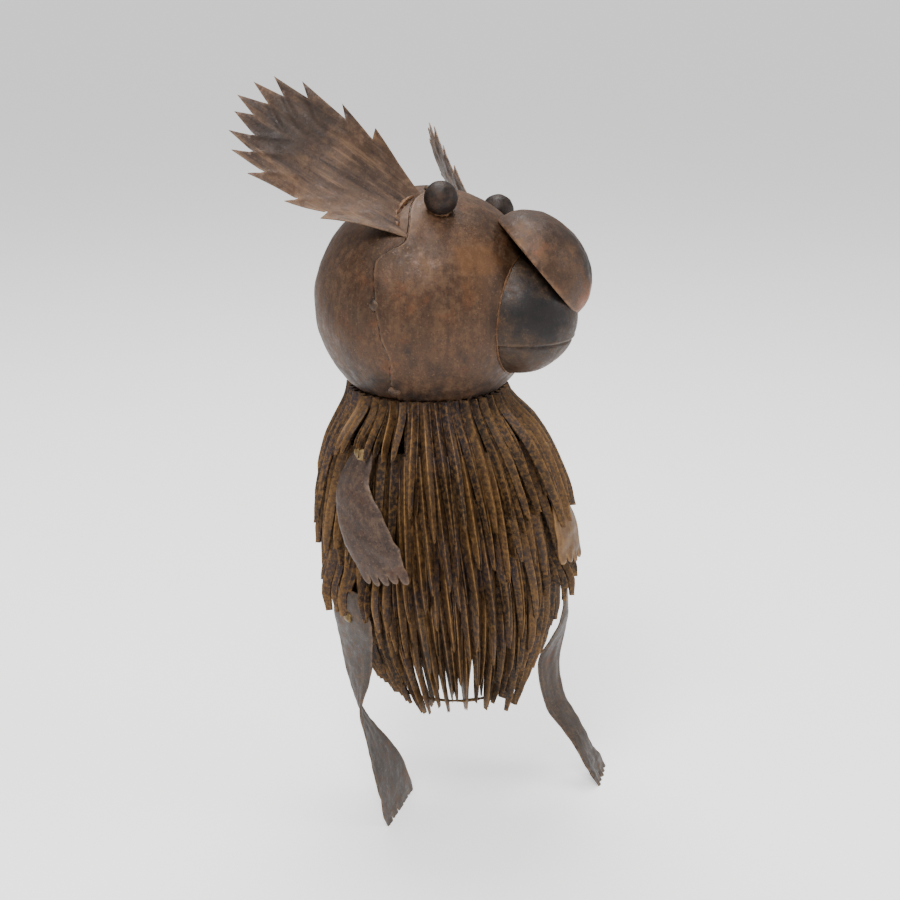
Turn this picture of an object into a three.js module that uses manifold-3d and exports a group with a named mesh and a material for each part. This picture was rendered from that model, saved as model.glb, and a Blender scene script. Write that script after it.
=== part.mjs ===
// Iron koala statue: a welded sheet ball for a head, six skirts of folded iron
// spikes for a body, and limbs and ears cut from thin sheet.
// Millimetres, +Z up, the body faces -Y and the koala's right side is -X.
import * as THREE from "three";
import { mergeVertices } from "three/addons/utils/BufferGeometryUtils.js";
import Module from "manifold-3d";

// Driving sizes
const figureHeight = 600; // ground to the ear tip, near enough; the figure's proportions are shares of it
const sheet = 1.8; // thickness of the cut sheet of the limbs and ears
const noseSheet = 2.2; // thickness of the nose cup
const gap = 0.35; // clearance left where two pieces touch
const seamGroove = 1.6; // half width of the groove along the head's welded seam
const hoopWire = 2.6; // diameter of the bottom hoop's wire
const spikeRise = 2.8; // height of a spike's folded ridge
const bandRise = 1.4; // thickness of the strip that joins a row's spikes at the top
const spikesPerRow = 36;
const ballSides = 28;
const muzzleSides = 22;

// One millimetre on the figure at its measured height
const unit = figureHeight / 600;
const degree = Math.PI / 180;

const iron = {
  head: { color: 0x6e5037, roughness: 0.62, metalness: 0.55 },
  dark: { color: 0x2a2626, roughness: 0.5, metalness: 0.6 },
  spike: { color: 0x7a5f3a, roughness: 0.7, metalness: 0.5 },
  limb: { color: 0x55463e, roughness: 0.66, metalness: 0.5 },
};

const group = new THREE.Group();
const wasm = await Module();
wasm.setup();

function addPiece(name, geometry, finish) {
  const mesh = new THREE.Mesh(geometry, new THREE.MeshStandardMaterial(finish));
  mesh.name = name;
  group.add(mesh);
}

function toSolid(geometry) {
  const plain = geometry.clone();
  plain.deleteAttribute("normal");
  plain.deleteAttribute("uv");
  const merged = mergeVertices(plain, 1e-4);
  const mesh = new wasm.Mesh({
    numProp: 3,
    vertProperties: new Float32Array(merged.attributes.position.array),
    triVerts: new Uint32Array(merged.index.array),
  });
  return new wasm.Manifold(mesh);
}

function toGeometry(solid) {
  const mesh = solid.getMesh();
  const geometry = new THREE.BufferGeometry();
  geometry.setAttribute("position", new THREE.BufferAttribute(mesh.vertProperties.slice(), 3));
  geometry.setIndex(new THREE.BufferAttribute(mesh.triVerts.slice(), 1));
  geometry.computeVertexNormals();
  return geometry;
}

function cutAway(geometry, ...cutters) {
  return toGeometry(cutters.reduce((solid, cutter) => solid.subtract(toSolid(cutter)), toSolid(geometry)));
}

// A lathe turned about the Y axis, then pointed along a direction and moved to a place
function turned(profile, sides, direction, place) {
  const geometry = new THREE.LatheGeometry(profile, sides);
  const turn = new THREE.Quaternion().setFromUnitVectors(new THREE.Vector3(0, 1, 0), direction);
  geometry.applyQuaternion(turn);
  geometry.translate(place.x, place.y, place.z);
  return geometry;
}

function arcProfile(radiusAcross, radiusAlong, from, to, steps) {
  const points = [];
  for (let i = 0; i <= steps; i += 1) {
    const angle = from + (to - from) * (i / steps);
    points.push(new THREE.Vector2(radiusAcross * Math.cos(angle), radiusAlong * Math.sin(angle)));
  }
  return points;
}

function ball(radius, sides, place) {
  const profile = arcProfile(radius, radius, -Math.PI / 2, Math.PI / 2, sides / 2);
  profile[0].x = 0;
  profile[profile.length - 1].x = 0;
  return turned(profile, sides, new THREE.Vector3(0, 1, 0), place);
}

// A ball whose flat sides stay clear of a round one of the given radius
function ballSpace(radius, sides, place) {
  return ball(radius / Math.cos(Math.PI / sides) ** 2 + gap, sides, place);
}

// The body leans a little: its axis runs to the koala's right going up
const leanAcross = new THREE.Vector3(0.934, -0.358, 0);
const leanSlope = 0.0878;
const leanHeight = 232.3 * unit;

function bodyAxis(height) {
  return leanAcross.clone().multiplyScalar((leanHeight - height) * leanSlope).setZ(height);
}

// Head
const headRadius = 88 * unit;
const headHeight = 435 * unit;
const headPlace = bodyAxis(headHeight * 0.837).setZ(headHeight);
const headTurn = 40 * degree;
const headRoll = 22 * degree;
const headFront = new THREE.Vector3(Math.sin(headTurn), -Math.cos(headTurn), 0);
const headRight = new THREE.Vector3(
  -Math.cos(headTurn) * Math.cos(headRoll),
  -Math.sin(headTurn) * Math.cos(headRoll),
  Math.sin(headRoll),
);
const headUp = new THREE.Vector3().crossVectors(headFront, headRight).negate();

// A direction or offset given as front, right and up on the head
function onHead(front, right, up) {
  return new THREE.Vector3()
    .addScaledVector(headFront, front)
    .addScaledVector(headRight, right)
    .addScaledVector(headUp, up);
}

function fromHead(front, right, up) {
  return onHead(front * unit, right * unit, up * unit).add(headPlace);
}

const headSpace = ballSpace(headRadius, ballSides, headPlace);

function halfHead(direction) {
  const start = Math.asin(seamGroove / headRadius);
  const arc = arcProfile(headRadius, headRadius, start, Math.PI / 2, ballSides / 4);
  arc[arc.length - 1].x = 0;
  const floor = gap / 2;
  const profile = [
    new THREE.Vector2(0, floor),
    new THREE.Vector2(headRadius - seamGroove, floor),
    ...arc,
  ];
  return turned(profile, ballSides, direction, headPlace);
}

addPiece("head_back_shell", halfHead(headFront.clone().negate()), iron.head);
addPiece("head_face_shell", halfHead(headFront), iron.head);

// Muzzle: a smaller ball seated on the face
const muzzleRadius = 45.5 * unit;
const muzzlePlace = fromHead(74.5, -9.5, -1);
const muzzleBall = ball(muzzleRadius, muzzleSides, muzzlePlace);
addPiece("muzzle", cutAway(muzzleBall, headSpace), iron.dark);

// Nose: an open cup of sheet over the muzzle, with a slit left under its upper rim
const noseRadius = 47 * unit;
const noseDepth = 37 * unit;
const noseTurn = onHead(0.633, -0.16, 0.757).normalize();
const nosePlace = fromHead(83.5, -9, 36);

function noseCup() {
  const steps = 6;
  const outer = arcProfile(noseRadius, noseDepth, 0, Math.PI / 2, steps);
  const inner = arcProfile(noseRadius - noseSheet, noseDepth - noseSheet, Math.PI / 2, 0, steps);
  outer[steps].x = 0;
  inner[0].x = 0;
  const profile = [...inner, ...outer];
  return turned(profile, muzzleSides, noseTurn, nosePlace);
}

const muzzleSpace = ballSpace(muzzleRadius, muzzleSides, muzzlePlace);
addPiece("nose", cutAway(noseCup(), muzzleSpace, headSpace), iron.head);

// Eyes: iron balls welded on the brow
const eyeRadius = 12.6 * unit;
const eyeReach = headRadius + eyeRadius * 0.76;

function eye(front, right, up) {
  const place = onHead(front, right, up).normalize().multiplyScalar(eyeReach).add(headPlace);
  return cutAway(ball(eyeRadius, 16, place), headSpace);
}

addPiece("eye_right", eye(0.32, 0.66, 0.68), iron.dark);
addPiece("eye_left", eye(0.245, -0.435, 0.866), iron.dark);

function range(from, to) {
  return Array.from({ length: to - from }, (_, i) => from + i);
}

// Sheet pieces: a flat outline in (u, v), split along its middle line, laid on a
// curved surface that place(u, v) gives, and thickened to the sheet's gauge. The
// first matched points of both edges lie straight across from the middle line's.
function sheetPiece(upper, middle, lower, matched, place, thickness) {
  const outline = [...middle, ...upper, ...lower];
  const upperStart = middle.length;
  const lowerStart = upperStart + upper.length;
  const rest = matched - 1;
  const paths = range(0, rest).flatMap((i) => [
    [i, i + 1, upperStart + i + 1, upperStart + i],
    [i + 1, i, lowerStart + i, lowerStart + i + 1],
  ]);
  const middleRest = range(rest, middle.length);
  paths.push([...middleRest, ...range(upperStart + rest, lowerStart).reverse()]);
  paths.push([...middleRest.slice().reverse(), ...range(lowerStart + rest, outline.length)]);
  const faces = [];
  for (const path of paths) {
    const contour = path.map((index) => new THREE.Vector2(outline[index][0], outline[index][1]));
    for (const face of THREE.ShapeUtils.triangulateShape(contour, [])) {
      faces.push(face.map((corner) => path[corner]));
    }
  }
  const count = outline.length;
  const positions = [];
  for (const side of [0.5, -0.5]) {
    for (const [u, v] of outline) {
      const here = place(u, v);
      const step = 0.01;
      const along = place(u + step, v).sub(here);
      const across = place(u, v + step).sub(here);
      const normal = along.cross(across).normalize();
      here.addScaledVector(normal, side * thickness);
      positions.push(here.x, here.y, here.z);
    }
  }
  const edges = new Map();
  for (const [a, b, c] of faces) {
    for (const [from, to] of [[a, b], [b, c], [c, a]]) {
      if (edges.has(`${to},${from}`)) {
        edges.delete(`${to},${from}`);
      } else {
        edges.set(`${from},${to}`, [from, to]);
      }
    }
  }
  const indices = [];
  for (const [a, b, c] of faces) {
    indices.push(c, b, a);
  }
  for (const [a, b, c] of faces) {
    indices.push(a + count, b + count, c + count);
  }
  for (const [from, to] of edges.values()) {
    indices.push(from, to, from + count, from + count, to, to + count);
  }
  const geometry = new THREE.BufferGeometry();
  geometry.setAttribute("position", new THREE.Float32BufferAttribute(positions, 3));
  // The faces above are listed back to front, so the list is turned round
  geometry.setIndex(indices.reverse());
  return geometry;
}

// Ears: a sawtooth leaf, its teeth pointing to the tip
const earLength = 156 * unit;
const earHalfWidth = 43 * unit;
const earRootHalf = 21 * unit;
const earCup = 7 * unit;

function earOutline() {
  // Shares of the length along the leaf and of the half width across it: tip of
  // each tooth and the notch beyond it, from the root out to the end of the leaf
  const teeth = [
    [0.365, 0.96, 0.36, 0.84],
    [0.55, 1.0, 0.53, 0.88],
    [0.775, 0.93, 0.735, 0.84],
    [0.9, 0.75, 0.83, 0.63],
    [0.965, 0.5, 0.87, 0.38],
    [1.0, 0.14, 0.91, 0.0],
  ];
  const root = -0.08;
  const sides = [];
  for (const sign of [1, -1]) {
    const side = [[root * earLength, sign * earRootHalf]];
    teeth.forEach(([tipU, tipV, notchU, notchV], i) => {
      const slip = sign < 0 ? -0.035 : 0;
      side.push([(tipU + slip) * earLength, sign * tipV * earHalfWidth]);
      if (i < teeth.length - 1) {
        side.push([(notchU + slip) * earLength, sign * notchV * earHalfWidth]);
      }
    });
    sides.push(side);
  }
  const last = teeth[teeth.length - 1];
  const middle = [root, 0.15, 0.36, 0.55, 0.74, last[2]].map((share) => [share * earLength, 0]);
  return { upper: sides[0], middle, lower: sides[1] };
}

// The leaf turns about its own length from the root to a third of the way out
function ear(rootPlace, along, rootAcross, tipAcross, cupSign) {
  const outline = earOutline();
  const turnLength = earLength * 0.5;
  const place = (u, v) => {
    const turn = THREE.MathUtils.smoothstep(u, 0, turnLength);
    const across = rootAcross.clone().lerp(tipAcross, turn);
    across.addScaledVector(along, -across.dot(along)).normalize();
    const out = new THREE.Vector3().crossVectors(along, across);
    const cup = cupSign * earCup * (v / earHalfWidth) ** 2;
    const curl = cupSign * earCup * (u / earLength) ** 2;
    return rootPlace.clone()
      .addScaledVector(along, u)
      .addScaledVector(across, v)
      .addScaledVector(out, cup + curl);
  };
  return cutAway(sheetPiece(outline.upper, outline.middle, outline.lower, 1, place, sheet), headSpace);
}

const rightEar = ear(
  fromHead(8.1, 67, 49.9),
  onHead(-0.813, 0.444, 0.378).normalize(),
  onHead(-0.028, -0.677, 0.736).normalize(),
  onHead(0.267, -0.292, 0.919).normalize(),
  -1,
);
addPiece("ear_right", rightEar, iron.head);

const leftEar = ear(
  fromHead(2.4, -64.8, 59.2),
  onHead(-0.685, -0.393, 0.613).normalize(),
  onHead(0.087, 0.791, 0.605).normalize(),
  onHead(0.0, 0.83, 0.55).normalize(),
  1,
);
addPiece("ear_left", leftEar, iron.head);

// Body: skirts of spikes hung one under the other like shingles
const bodyProfile = new THREE.CatmullRomCurve3([
  new THREE.Vector3(36, 0, 90),
  new THREE.Vector3(58, 0, 130),
  new THREE.Vector3(78, 0, 170),
  new THREE.Vector3(90, 0, 215),
  new THREE.Vector3(92, 0, 250),
  new THREE.Vector3(90, 0, 288),
  new THREE.Vector3(82, 0, 326),
  new THREE.Vector3(67.5, 0, 358),
  new THREE.Vector3(65, 0, 372),
].map((point) => point.multiplyScalar(unit))).getPoints(80);

function bodyRadius(height) {
  const above = bodyProfile.findIndex((point) => point.z >= height);
  if (above <= 0) {
    return bodyProfile[0].x;
  }
  const low = bodyProfile[above - 1];
  const high = bodyProfile[above];
  return THREE.MathUtils.mapLinear(height, low.z, high.z, low.x, high.x);
}

// Each row's top edge and mean tip, where its spikes bend, as shares of their
// length, and the shares between which they lift over the top of a limb
const rows = [
  { top: 369, tip: 276, sections: [0.3, 0.62, 0.9], tuck: [0.02, 0.34] },
  { top: 331, tip: 242, sections: [0.33, 0.66, 0.9] },
  { top: 298, tip: 205, sections: [0.5, 0.88], tuck: [0.62, 0.95] },
  { top: 262, tip: 169, sections: [0.5, 0.88] },
  { top: 227, tip: 138, sections: [0.5, 0.88] },
  { top: 195, tip: 112, sections: [0.5, 0.88] },
];
const rowStart = -5.5 * unit; // the row's inner face under the profile at its top edge
const rowRamp = 10.5 * unit; // how far it comes out by its tips
const bandHeight = 9 * unit;
const tuckLift = 8 * unit; // how far spikes stand out over the top of a limb
const collarShort = 0.5; // share of their length that the top row's spikes lose over an arm
const rightShoulder = -60;
const leftShoulder = 59;
const rightHip = -74;
const leftHip = 66;

function scatter(seed) {
  const value = Math.sin(seed * 12.9898) * 43758.5453;
  return (value - Math.floor(value)) * 2 - 1;
}

function aroundBody(angle, radius, height) {
  return bodyAxis(height).add(new THREE.Vector3(Math.sin(angle) * radius, -Math.cos(angle) * radius, 0));
}

function liftOver(angle, centres) {
  const full = 20;
  const none = 29;
  return centres.reduce((most, centre) => {
    const away = Math.abs(THREE.MathUtils.euclideanModulo(angle / degree - centre + 180, 360) - 180);
    return Math.max(most, 1 - THREE.MathUtils.smoothstep(away, full, none));
  }, 0);
}

function spikeRow(rowNumber) {
  const { top, tip, sections, tuck } = rows[rowNumber];
  const topHeight = top * unit;
  const length = (top - tip) * unit;
  const limbs = rowNumber === 0 ? [rightShoulder, leftShoulder] : [rightHip, leftHip];
  const pitch = (Math.PI * 2) / spikesPerRow;
  const positions = [];
  const indices = [];
  const put = (angle, height, rise) => {
    const share = (topHeight - height) / length;
    const lift = tuck ? tuckLift * liftOver(angle, limbs) * THREE.MathUtils.smoothstep(share, ...tuck) : 0;
    const radius = bodyRadius(height) + rowStart + rowRamp * share + rise + lift;
    const point = aroundBody(angle, radius, height);
    positions.push(point.x, point.y, point.z);
    return positions.length / 3 - 1;
  };
  const bandFoot = topHeight - bandHeight;
  const valleys = [];
  const startTurn = (rowNumber % 2) * pitch * 0.5;
  for (let i = 0; i < spikesPerRow; i += 1) {
    const angle = startTurn + (i - 0.5) * pitch;
    valleys.push({
      topIn: put(angle, topHeight, 0),
      topOut: put(angle, topHeight, bandRise),
      footIn: put(angle, bandFoot, 0),
      footOut: put(angle, bandFoot, bandRise),
    });
  }
  for (let i = 0; i < spikesPerRow; i += 1) {
    const seed = rowNumber * spikesPerRow + i + 1;
    const a = valleys[i];
    const b = valleys[(i + 1) % spikesPerRow];
    const angle = startTurn + i * pitch;
    const tipAngle = angle + scatter(seed) * pitch * 0.28;
    const cut = rowNumber === 0 ? collarShort * liftOver(angle, limbs) : 0;
    const tipHeight = topHeight - length * (1 + scatter(seed + 500) * 0.1) * (1 - cut);
    const half = pitch * 0.46;
    const ridgeIn = put(angle, bandFoot, 0);
    const ridgeOut = put(angle, bandFoot, spikeRise);
    indices.push(a.topIn, b.topIn, b.topOut, a.topIn, b.topOut, a.topOut);
    indices.push(a.topOut, b.topOut, ridgeOut, a.topOut, ridgeOut, a.footOut, b.topOut, b.footOut, ridgeOut);
    indices.push(b.topIn, a.topIn, ridgeIn, a.topIn, a.footIn, ridgeIn, b.footIn, b.topIn, ridgeIn);
    let left = { inner: a.footIn, outer: a.footOut };
    let right = { inner: b.footIn, outer: b.footOut };
    let ridge = { inner: ridgeIn, outer: ridgeOut };
    for (const share of sections) {
      const width = 1 - 0.55 * share ** 2;
      const height = THREE.MathUtils.lerp(bandFoot, tipHeight, share);
      const mid = THREE.MathUtils.lerp(angle, tipAngle, share);
      const edgeA = put(mid - half * width, height, 0.2);
      const edgeB = put(mid + half * width, height, 0.2);
      const crest = put(mid, height, spikeRise);
      indices.push(left.outer, ridge.outer, crest, left.outer, crest, edgeA);
      indices.push(ridge.outer, right.outer, edgeB, ridge.outer, edgeB, crest);
      if (ridge.inner === undefined) {
        indices.push(left.outer, edgeA, edgeB, left.outer, edgeB, right.outer);
      } else {
        indices.push(left.inner, edgeA, ridge.inner, ridge.inner, edgeA, edgeB, ridge.inner, edgeB, right.inner);
        indices.push(left.inner, left.outer, edgeA, right.outer, right.inner, edgeB);
      }
      left = { outer: edgeA };
      right = { outer: edgeB };
      ridge = { outer: crest };
    }
    const end = put(tipAngle, tipHeight, 1);
    indices.push(left.outer, ridge.outer, end, ridge.outer, right.outer, end, right.outer, left.outer, end);
  }
  const geometry = new THREE.BufferGeometry();
  geometry.setAttribute("position", new THREE.Float32BufferAttribute(positions, 3));
  // The faces above run clockwise seen from outside, so the list is turned round
  geometry.setIndex(indices.reverse());
  return geometry;
}

rows.forEach((_, rowNumber) => {
  addPiece(`spike_row_${rowNumber + 1}`, spikeRow(rowNumber), iron.spike);
});

// Bottom hoop: a ring of wire inside the lowest spikes
const hoopHeight = 118 * unit;
const hoopRadius = bodyRadius(hoopHeight) + rowStart + rowRamp * 0.9 - gap - hoopWire;

function hoop() {
  const place = bodyAxis(hoopHeight);
  const wireSides = 5;
  const profile = arcProfile(hoopWire / 2, hoopWire / 2, 0, Math.PI * 2, wireSides);
  profile.forEach((point) => {
    point.x += hoopRadius;
  });
  profile[wireSides].copy(profile[0]);
  return turned(profile, ballSides, new THREE.Vector3(0, 0, 1), place);
}

addPiece("bottom_hoop", hoop(), iron.spike);

// Limbs: strips of sheet laid through stations. Each station is the strip's centre,
// half of its width as a vector across it, and how far its middle bulges outwards.
function limb(stations, digits, digitReach) {
  const last = stations.length - 1;
  const centres = new THREE.CatmullRomCurve3(stations.map(({ centre }) => new THREE.Vector3(...centre)));
  const halves = new THREE.CatmullRomCurve3(stations.map(({ half }) => new THREE.Vector3(...half)));
  const heading = new THREE.Vector3(...stations[last].centre)
    .sub(new THREE.Vector3(...stations[last - 1].centre))
    .normalize();
  const place = (u, v) => {
    const share = THREE.MathUtils.clamp(u, 0, last) / last;
    const half = halves.getPoint(share);
    const out = half.clone().cross(centres.getTangent(share)).normalize();
    const station = Math.min(Math.floor(Math.max(u, 0)), last - 1);
    const between = THREE.MathUtils.clamp(u - station, 0, 1);
    const crown = THREE.MathUtils.lerp(stations[station].crown, stations[station + 1].crown, between);
    return centres.getPoint(share)
      .addScaledVector(heading, Math.max(u - last, 0))
      .addScaledVector(half, v)
      .addScaledVector(out, crown * (1 - v * v))
      .multiplyScalar(unit);
  };
  const upper = [];
  const middle = [];
  const lower = [];
  const stepsPerStation = 2;
  for (let i = 0; i <= last * stepsPerStation; i += 1) {
    const u = i / stepsPerStation;
    const edge = i === 0 ? 0.72 : 1;
    upper.push([u, edge]);
    middle.push([u, 0]);
    lower.push([u, -edge]);
  }
  // The end is cut into blunt digits with short notches between them
  const notchReach = digitReach * 0.35;
  const upperEnd = [];
  const lowerEnd = [];
  for (let i = 0; i < digits; i += 1) {
    const across = 1 - (2 * i + 1) / digits;
    const tipHalf = 0.5 / digits;
    const reach = digitReach * (1 + 0.2 * scatter(i + digits * 7));
    const points = [[last + reach, across + tipHalf], [last + reach, across - tipHalf]];
    if (i < digits - 1) {
      points.push([last + notchReach, across - 1 / digits]);
    }
    for (const point of points) {
      if (point[1] > 0.001) {
        upperEnd.push(point);
      } else if (point[1] < -0.001) {
        lowerEnd.unshift(point);
      } else {
        middle.push(point);
      }
    }
  }
  if (digits % 2 === 1) {
    middle.push([last + digitReach, 0]);
  }
  return sheetPiece([...upper, ...upperEnd], middle, [...lower, ...lowerEnd], lower.length, place, sheet);
}

const digitLength = 9 * unit;

const rightArm = [
  { centre: [-77.6, -39, 334], half: [-5.2, 8.6, 1], crown: 2 },
  { centre: [-87.6, -38.8, 308], half: [-7.4, 15, -1.5], crown: 2.5 },
  { centre: [-87.2, -48.2, 287], half: [-12, 19, -3], crown: 3.2 },
  { centre: [-81.6, -62, 263], half: [-15.5, 18.4, -1.5], crown: 3.6 },
  { centre: [-75.3, -70.2, 244], half: [-13.7, 15, -3.5], crown: 2.6 },
];
addPiece("arm_right", limb(rightArm, 5, digitLength), iron.limb);

const leftArm = [
  { centre: [68, -39.6, 322], half: [-7, -10, 2], crown: 2 },
  { centre: [75.6, -45.8, 297], half: [-10, -13.5, 2], crown: 2.5 },
  { centre: [78, -53.5, 278], half: [-13, -16.5, 2], crown: 3.5 },
  { centre: [83, -59, 254], half: [-16.5, -16, 2], crown: 3.5 },
  { centre: [84.5, -62, 238], half: [-16, -15, 2], crown: 2.5 },
];
addPiece("arm_left", limb(leftArm, 4, digitLength), iron.limb);

const rightLeg = [
  { centre: [-89.3, -31, 220], half: [-5, 16, 3], crown: 3 },
  { centre: [-86.6, -27.2, 188], half: [-8, 23, 0], crown: 3 },
  { centre: [-82, -20, 161], half: [-6, 22, -1.5], crown: 3 },
  { centre: [-80, -20, 136], half: [-5, 13, -4], crown: 2 },
  { centre: [-77, -13.4, 104], half: [2.2, 6, 0], crown: 0 },
  { centre: [-66, -9, 76], half: [9, 13.5, 0], crown: 0 },
  { centre: [-52, -6, 42], half: [17.5, 20, 0], crown: 0 },
  { centre: [-42, -1, 9], half: [21, 26.5, 0], crown: 0 },
];

const leftLeg = [
  { centre: [93.2, -27.1, 206], half: [-3.5, -17, -1.5], crown: 3 },
  { centre: [97, -27, 168], half: [-8, -13, 0], crown: 3 },
  { centre: [93, -10, 120], half: [-12, -4, -2], crown: 1 },
  { centre: [102, -5, 78], half: [-10, -4, -4], crown: 0 },
  { centre: [119, -6, 50], half: [-9, -7, -3], crown: 0 },
  { centre: [132, -11, 24], half: [-11, -15, 0], crown: 0 },
  { centre: [141, -11, 9], half: [-12, -17.5, 0], crown: 0 },
];

// The toes reach a little below the ground and are cut off flat to stand on it
function leg(stations) {
  const depth = 40 * unit;
  const ground = new THREE.BoxGeometry(figureHeight, figureHeight, depth);
  ground.translate(0, 0, -depth / 2);
  return cutAway(limb(stations, 5, digitLength * 1.5), ground);
}

addPiece("leg_right", leg(rightLeg), iron.limb);
addPiece("leg_left", leg(leftLeg), iron.limb);

group.updateMatrixWorld(true);
const box = new THREE.Box3().setFromObject(group);
group.position.set(-(box.min.x + box.max.x) / 2, -(box.min.y + box.max.y) / 2, -box.min.z);

export default group;
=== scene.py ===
import math

import bmesh
import bpy
import numpy as np
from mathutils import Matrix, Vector, noise
from mathutils.geometry import delaunay_2d_cdt


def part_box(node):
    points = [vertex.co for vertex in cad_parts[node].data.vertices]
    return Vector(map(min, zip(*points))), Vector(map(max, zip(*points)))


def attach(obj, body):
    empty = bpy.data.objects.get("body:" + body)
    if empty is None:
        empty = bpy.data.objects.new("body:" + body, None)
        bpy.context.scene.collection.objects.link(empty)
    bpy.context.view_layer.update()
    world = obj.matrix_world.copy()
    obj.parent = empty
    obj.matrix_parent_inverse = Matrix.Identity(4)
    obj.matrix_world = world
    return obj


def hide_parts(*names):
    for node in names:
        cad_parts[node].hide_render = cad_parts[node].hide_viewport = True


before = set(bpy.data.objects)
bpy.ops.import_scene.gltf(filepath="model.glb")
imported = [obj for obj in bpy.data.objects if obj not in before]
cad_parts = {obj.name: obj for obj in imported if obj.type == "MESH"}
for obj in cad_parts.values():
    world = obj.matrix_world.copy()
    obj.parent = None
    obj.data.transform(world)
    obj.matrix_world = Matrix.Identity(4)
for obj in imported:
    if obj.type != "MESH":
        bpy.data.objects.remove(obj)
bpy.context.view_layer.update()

# Head: two raised half balls of sheet iron that meet at a hammered seam behind the
# face, where the face half overlaps a little and is tacked with a few blobs of weld.
# The iron is brown and streaked downwards, and painted almost black under the chin as shade.
MM = 0.001
LEAN_ACROSS = Vector((0.934, -0.358, 0))
LEAN_SLOPE = 0.0878
LEAN_HEIGHT = 232.3
HOOP_HEIGHT = 118
HEAD_RADIUS = 88
HEAD_HEIGHT = 435
NECK_HEIGHT = HEAD_HEIGHT * 0.837  # where the body's leaning axis meets the head
HEAD_TURN = math.radians(40)
HEAD_ROLL = math.radians(22)
HEAD_FRONT = Vector((math.sin(HEAD_TURN), -math.cos(HEAD_TURN), 0))
HEAD_RIGHT = Vector((
    -math.cos(HEAD_TURN) * math.cos(HEAD_ROLL),
    -math.sin(HEAD_TURN) * math.cos(HEAD_ROLL),
    math.sin(HEAD_ROLL),
))
HEAD_UP = -HEAD_FRONT.cross(HEAD_RIGHT)
# Where the seam runs: degrees round the head from its right side, and degrees
# that it lies towards the face
SEAM_SHIFT = [
    (-180, 0), (-90, 1), (-60, 6), (-42, 9), (-27, 6), (-12, 3),
    (6, 0), (20, 12), (50, 4), (90, 0), (180, 0),
]


def leaning(height):
    return LEAN_ACROSS * ((LEAN_HEIGHT - height) * LEAN_SLOPE)


hoop_low, hoop_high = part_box("bottom_hoop")
SHIFT = (Vector(hoop_low) + Vector(hoop_high)) / (2 * MM) - leaning(HOOP_HEIGHT)
SHIFT.z = 0


def body_axis(height):
    return leaning(height) + SHIFT + Vector((0, 0, height))


def on_head(front, right, up):
    return HEAD_FRONT * front + HEAD_RIGHT * right + HEAD_UP * up


HEAD_PLACE = body_axis(NECK_HEIGHT)
HEAD_PLACE.z = HEAD_HEIGHT


def from_head(front, right, up):
    return on_head(front, right, up) + HEAD_PLACE


def smooth(x, low, high):
    share = min(max((x - low) / (high - low), 0), 1)
    return share * share * (3 - 2 * share)


def along_table(table, x):
    for (x0, y0), (x1, y1) in zip(table, table[1:]):
        if x <= x1:
            return y0 + (y1 - y0) * smooth(x, x0, x1)
    return table[-1][1]


def scatter(seed):
    value = math.sin(seed * 12.9898) * 43758.5453
    return (value - math.floor(value)) * 2 - 1


def dents(point, size, depth):
    return noise.noise(point / size) * depth


IRON_DEPTH = 0.66
IRON_WARMTH = 1.12  # over 1 makes dark colours darker and richer


def srgb(red, green, blue):
    """Bare colour of iron that looks like this screen colour under studio light."""
    def linear(value):
        return ((value / 255 + 0.055) / 1.055) ** 2.4
    return tuple(linear(value) ** IRON_WARMTH * IRON_DEPTH for value in (red, green, blue)) + (1,)


def make_mesh(name, points, faces, grain=None, wear_and_highlight=None, tone_and_shade=None, sharp=40):
    """A closed mesh from points in mm; grain is where the streaks run (along its
    second number), wear is 1 on rubbed edges, which also get a painted highlight,
    and tone picks a strip's colour and its painted shade."""
    mesh = bpy.data.meshes.new(name)
    mesh.from_pydata([tuple(Vector(p) * MM) for p in points], [], faces)
    mesh.validate()
    count = len(points)
    if grain is None:
        grain = [(p[0], p[2] * 0.12, p[1]) for p in points]
    mesh.attributes.new("grain", "FLOAT_VECTOR", "POINT").data.foreach_set(
        "vector", np.array(grain, dtype=np.float32).ravel())
    for label, values in (("wear_and_highlight", wear_and_highlight), ("tone_and_shade", tone_and_shade)):
        values = [0.0] * count if values is None else values
        mesh.attributes.new(label, "FLOAT", "POINT").data.foreach_set(
            "value", np.array(values, dtype=np.float32))
    cleaner = bmesh.new()
    cleaner.from_mesh(mesh)
    bmesh.ops.recalc_face_normals(cleaner, faces=cleaner.faces)
    cleaner.to_mesh(mesh)
    cleaner.free()
    mesh.shade_smooth()
    mesh.set_sharp_from_angle(angle=math.radians(sharp))
    piece = bpy.data.objects.new(name, mesh)
    bpy.context.scene.collection.objects.link(piece)
    return piece


def finish_piece(piece, material, slot, *nodes):
    piece.data.materials.append(material)
    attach(piece, "root")
    if nodes:
        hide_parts(*nodes)


def join_rings(rings):
    """Faces between rings of point numbers; a ring of one number is a point."""
    faces = []
    for one, two in zip(rings, rings[1:]):
        sides = max(len(one), len(two))
        for i in range(sides):
            j = (i + 1) % sides
            corners = [one[i % len(one)], one[j % len(one)], two[j % len(two)], two[i % len(two)]]
            face = list(dict.fromkeys(corners))
            if len(face) > 2:
                faces.append(face)
    return faces


def add_ring(points, new):
    start = len(points)
    points.extend(new)
    return list(range(start, len(points)))


# Node helpers and the iron's own shader groups
def node(tree, kind, links=None, **settings):
    made = tree.nodes.new(kind)
    for key, value in settings.items():
        setattr(made, key, value)
    for key, value in (links or {}).items():
        if isinstance(value, bpy.types.NodeSocket):
            tree.links.new(value, made.inputs[key])
        else:
            made.inputs[key].default_value = value
    return made


def mix(tree, factor, under, over):
    made = node(tree, "ShaderNodeMix", {0: factor, 6: under, 7: over}, data_type="RGBA")
    return made.outputs[2]


def calc(tree, operation, *values):
    made = node(tree, "ShaderNodeMath", dict(enumerate(values)), operation=operation)
    return made.outputs[0]


def spread(tree, value, low, high, start=0.0, end=1.0):
    made = node(tree, "ShaderNodeMapRange", {
        "Value": value, "From Min": low, "From Max": high, "To Min": start, "To Max": end})
    return made.outputs[0]


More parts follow.
